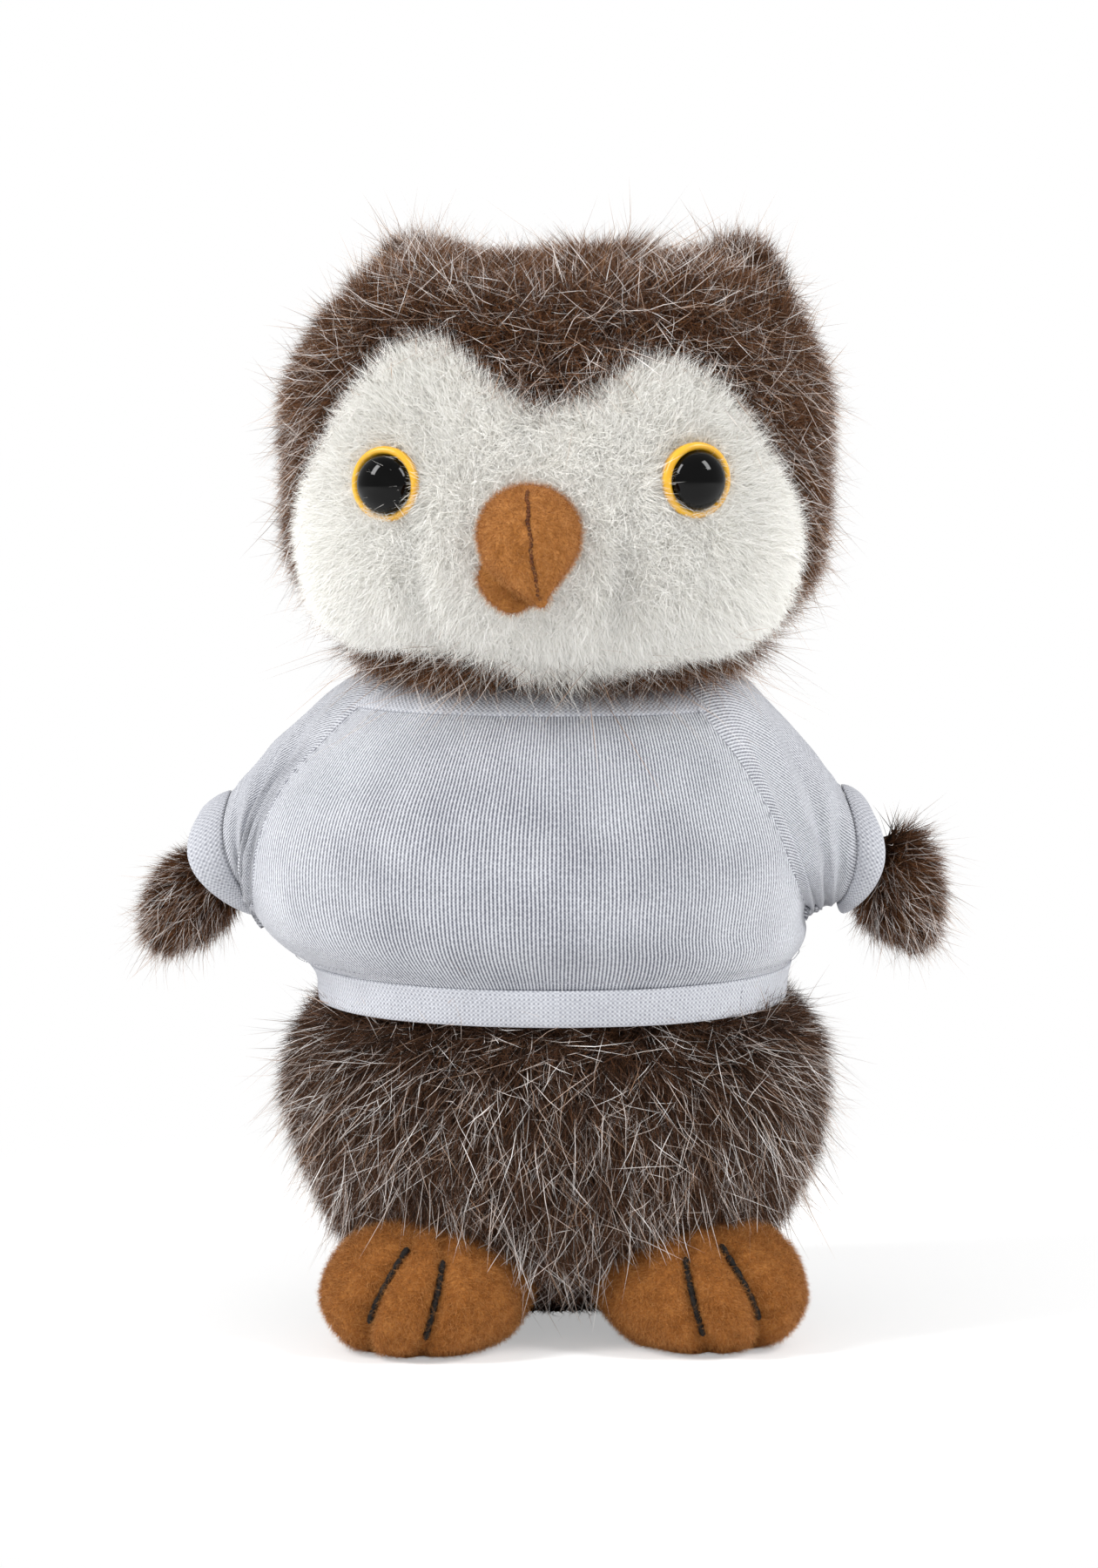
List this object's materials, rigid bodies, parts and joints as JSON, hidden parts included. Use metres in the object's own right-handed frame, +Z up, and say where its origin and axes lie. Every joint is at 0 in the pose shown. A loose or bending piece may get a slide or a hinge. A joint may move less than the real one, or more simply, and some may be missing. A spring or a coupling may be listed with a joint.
{
  "type": "plush owl",
  "caption": "Standing plush owl in a short-sleeved jersey T-shirt, with a turning head and wings that lift at the shoulders.",
  "frame": {"origin": "middle of the flat face under the body, on the surface the owl stands on", "axes": "+Z up through the head, the owl faces -Y, its image-left side towards -X"},
  "size_m": [0.1307, 0.0975, 0.1796],
  "materials": {
    "brown_fur": "long pile",
    "white_plush": "short dense pile",
    "caramel_fleece": "matte fleece",
    "beak_fleece": "matte fleece",
    "beak_fleece_dark": "matte fleece",
    "black_thread": "matte",
    "yellow_plastic": "gloss",
    "black_plastic": "high gloss",
    "washer_plastic": "satin",
    "white_jersey": "fine ribbed knit",
    "polyester_stuffing": "matte"
  },
  "bodies": {
    "body": {"body_skin": "brown_fur", "body_stuffing": "polyester_stuffing", "left_foot": "caramel_fleece", "right_foot": "caramel_fleece", "left_inner_toe_thread": "black_thread", "left_outer_toe_thread": "black_thread", "right_inner_toe_thread": "black_thread", "right_outer_toe_thread": "black_thread", "shirt_front": "white_jersey", "shirt_back": "white_jersey", "left_sleeve": "white_jersey", "right_sleeve": "white_jersey", "collar_band": "white_jersey", "hem_band": "white_jersey"},
    "head": {"head_skin": "brown_fur", "head_stuffing": "polyester_stuffing", "face_panel": "white_plush", "left_ear_tuft": "brown_fur", "right_ear_tuft": "brown_fur", "left_eye_plate": "yellow_plastic", "right_eye_plate": "yellow_plastic", "left_eye_pupil": "black_plastic", "right_eye_pupil": "black_plastic", "left_eye_washer": "washer_plastic", "right_eye_washer": "washer_plastic", "beak_upper": "beak_fleece", "beak_lower": "beak_fleece_dark", "beak_seam_thread": "black_thread"},
    "left_wing": {"left_wing": "brown_fur", "left_cuff": "white_jersey"},
    "right_wing": {"right_wing": "brown_fur", "right_cuff": "white_jersey"}
  },
  "joints": [
    {"name": "head_turn", "type": "hinge", "parent": "body", "child": "head", "pos_m": [0, 0, 0.1073], "axis": [0, 0, 1], "range_deg": [-16, 24], "stiffness_Nm_per_rad": 0.01},
    {"name": "left_wing_swing", "type": "hinge", "parent": "body", "child": "left_wing", "pos_m": [-0.04619, 0, 0.081], "axis": [0, 1, 0], "range_deg": [0, 55], "stiffness_Nm_per_rad": 0.002, "deforming": ["left_sleeve"]},
    {"name": "right_wing_swing", "type": "hinge", "parent": "body", "child": "right_wing", "pos_m": [0.04619, 0, 0.081], "axis": [0, -1, 0], "range_deg": [0, 55], "stiffness_Nm_per_rad": 0.002, "deforming": ["right_sleeve"]}
  ]
}
